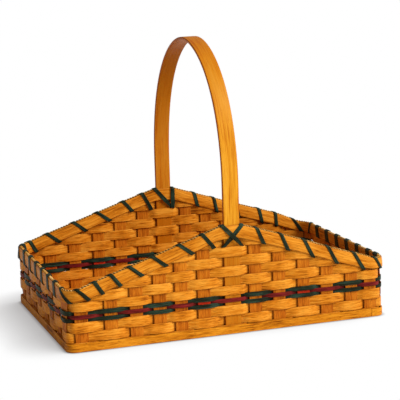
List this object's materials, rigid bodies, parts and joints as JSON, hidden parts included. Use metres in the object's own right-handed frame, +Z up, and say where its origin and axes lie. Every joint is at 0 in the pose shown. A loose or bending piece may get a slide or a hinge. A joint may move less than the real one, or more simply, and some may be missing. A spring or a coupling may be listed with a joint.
{
  "type": "gathering basket",
  "caption": "Long, low basket woven of flat reed, with gabled long walls, laced rims and a tall bentwood hoop handle that runs under the base; it is carried by hand and holds cut flowers.",
  "frame": {"origin": "middle of the underside, on the surface that the foot band stands on", "axes": "+X along the basket's long side, +Y from the front wall to the back wall, +Z up"},
  "size_m": [0.4628, 0.3036, 0.395],
  "materials": {
    "stake_reed": "satin stained reed, grain along the strip",
    "weaver_reed": "satin stained reed, grain along the strip",
    "band_reed": "satin stained reed, half oval bands",
    "handle_wood": "satin stained bentwood with straight grain",
    "green_reed": "dull deep green dyed reed",
    "maroon_reed": "dull maroon dyed reed",
    "grass_cord": "matt twisted grass cord"
  },
  "bodies": {
    "root": {"handle_hoop": "handle_wood", "cross_stake_01": "stake_reed", "cross_stake_02": "stake_reed", "cross_stake_03": "stake_reed", "cross_stake_04": "stake_reed", "cross_stake_05": "stake_reed", "cross_stake_06": "stake_reed", "cross_stake_07": "stake_reed", "cross_stake_08": "stake_reed", "cross_stake_09": "stake_reed", "cross_stake_10": "stake_reed", "cross_stake_11": "stake_reed", "cross_stake_12": "stake_reed", "long_stake_1": "stake_reed", "long_stake_2": "stake_reed", "long_stake_3": "stake_reed", "long_stake_4": "stake_reed", "long_stake_5": "stake_reed", "long_stake_6": "stake_reed", "long_stake_7": "stake_reed", "long_stake_8": "stake_reed", "locking_row": "weaver_reed", "row_1": "weaver_reed", "row_2": "weaver_reed", "accent_green_low": "green_reed", "accent_maroon": "maroon_reed", "accent_green_high": "green_reed", "row_3": "weaver_reed", "row_4": "weaver_reed", "row_5_front": "weaver_reed", "row_5_back": "weaver_reed", "row_6_front": "weaver_reed", "row_6_back": "weaver_reed", "row_7_front": "weaver_reed", "row_7_back": "weaver_reed", "row_8_front": "weaver_reed", "row_8_back": "weaver_reed", "foot_band": "band_reed", "rim_outer": "band_reed", "rim_inner": "band_reed", "rim_filler_right": "grass_cord", "rim_filler_left": "grass_cord", "lashing": "green_reed"}
  },
  "joints": []
}
